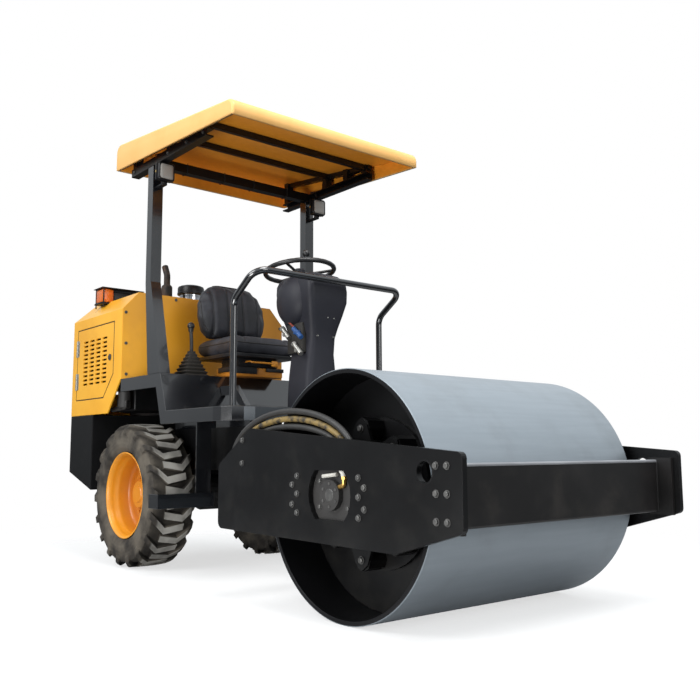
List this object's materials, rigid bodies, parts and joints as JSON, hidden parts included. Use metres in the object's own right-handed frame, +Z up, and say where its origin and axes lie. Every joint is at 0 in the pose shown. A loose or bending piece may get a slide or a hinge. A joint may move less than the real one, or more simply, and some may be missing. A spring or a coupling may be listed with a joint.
{
  "type": "road roller",
  "caption": "Ride-on road roller: smooth steel drum in a plate frame, articulated to a tractor with lugged tyres, hood, open platform with seat and console, and a canopy on posts.",
  "frame": {"origin": "on the ground below the middle of the machine's length, on its middle plane", "axes": "+X forward towards the drum, +Y to the machine's left, +Z up"},
  "size_m": [3.335, 1.28, 2.3648],
  "materials": {
    "hood_paint": "gloss",
    "canopy_shell": "satin",
    "rim_paint": "gloss",
    "black_paint": "satin",
    "drum_steel": "satin",
    "tyre_rubber": "matt",
    "hose_rubber": "matt",
    "vinyl": "satin",
    "console_plastic": "matt",
    "grip_plastic": "satin",
    "rod_chrome": "polished",
    "cast_iron": "satin",
    "lamp_amber": "gloss"
  },
  "bodies": {
    "tractor": {"rear_frame": "black_paint", "rear_axle": "cast_iron", "counterweight": "black_paint", "engine_block": "cast_iron", "hood": "hood_paint", "hood_bulkhead": "hood_paint", "operator_platform": "black_paint", "canopy_post_left": "black_paint", "canopy_post_right": "black_paint", "canopy_frame": "black_paint", "canopy_roof": "canopy_shell", "work_lamp_left": "black_paint", "work_lamp_right": "black_paint", "turn_lamp_left": "lamp_amber", "turn_lamp_right": "lamp_amber", "exhaust_stack": "cast_iron", "air_cleaner": "black_paint", "seat_base": "black_paint", "seat_cushion": "vinyl", "seat_backrest": "vinyl", "steering_console": "console_plastic", "steering_wheel": "grip_plastic", "travel_lever": "grip_plastic", "brake_pedal": "black_paint", "handrail": "black_paint"},
    "drum_frame": {"side_plate_left": "black_paint", "side_plate_right": "black_paint", "front_beam": "black_paint", "rear_cross_member": "black_paint", "drum_drive_left": "cast_iron", "drum_drive_right": "cast_iron", "drum_hoses": "hose_rubber"},
    "drum": {"drum_shell": "drum_steel", "drum_web_left": "black_paint", "drum_web_right": "black_paint", "exciter_tube": "cast_iron"},
    "wheel_right": {"tyre_right": "tyre_rubber", "rim_right": "rim_paint"},
    "wheel_left": {"tyre_left": "tyre_rubber", "rim_left": "rim_paint"},
    "steering_cylinder": {"steering_barrel": "black_paint"},
    "cylinder_rod": {"steering_rod": "rod_chrome"},
    "right_door": {"hood_door_right": "hood_paint"},
    "left_door": {"hood_door_left": "hood_paint"}
  },
  "joints": [
    {"name": "steer", "type": "hinge", "parent": "tractor", "child": "drum_frame", "pos_m": [0.0625, 0, 0.45], "axis": [0, 0, 1], "range_deg": [-30, 30]},
    {"name": "drum_roll", "type": "hinge", "parent": "drum_frame", "child": "drum", "pos_m": [1.0225, 0, 0.46], "axis": [0, 1, 0], "continuous": true},
    {"name": "wheel_right_roll", "type": "hinge", "parent": "tractor", "child": "wheel_right", "pos_m": [-0.8975, -0.424, 0.385], "axis": [0, 1, 0], "continuous": true},
    {"name": "wheel_left_roll", "type": "hinge", "parent": "tractor", "child": "wheel_left", "pos_m": [-0.8975, 0.424, 0.385], "axis": [0, 1, 0], "continuous": true},
    {"name": "cylinder_swing", "type": "hinge", "parent": "tractor", "child": "steering_cylinder", "pos_m": [-0.3975, 0.15, 0.455], "axis": [0, 0, 1], "range_deg": [-1.4, 1.4]},
    {"name": "cylinder_stroke", "type": "slide", "parent": "steering_cylinder", "child": "cylinder_rod", "axis": [0.9998, -0.0204, 0], "range_m": [-0.072, 0.072]},
    {"name": "right_door_swing", "type": "hinge", "parent": "tractor", "child": "right_door", "pos_m": [-1.5935, -0.548, 1.144], "axis": [0, 0, -1], "range_deg": [0, 100]},
    {"name": "left_door_swing", "type": "hinge", "parent": "tractor", "child": "left_door", "pos_m": [-1.5935, 0.548, 1.144], "axis": [0, 0, 1], "range_deg": [0, 100]}
  ],
  "couplings": [
    {"joint": "cylinder_swing", "follows": "steer", "ratio": 0.0434},
    {"joint": "cylinder_stroke", "follows": "steer", "m_per_rad": -0.1351}
  ]
}
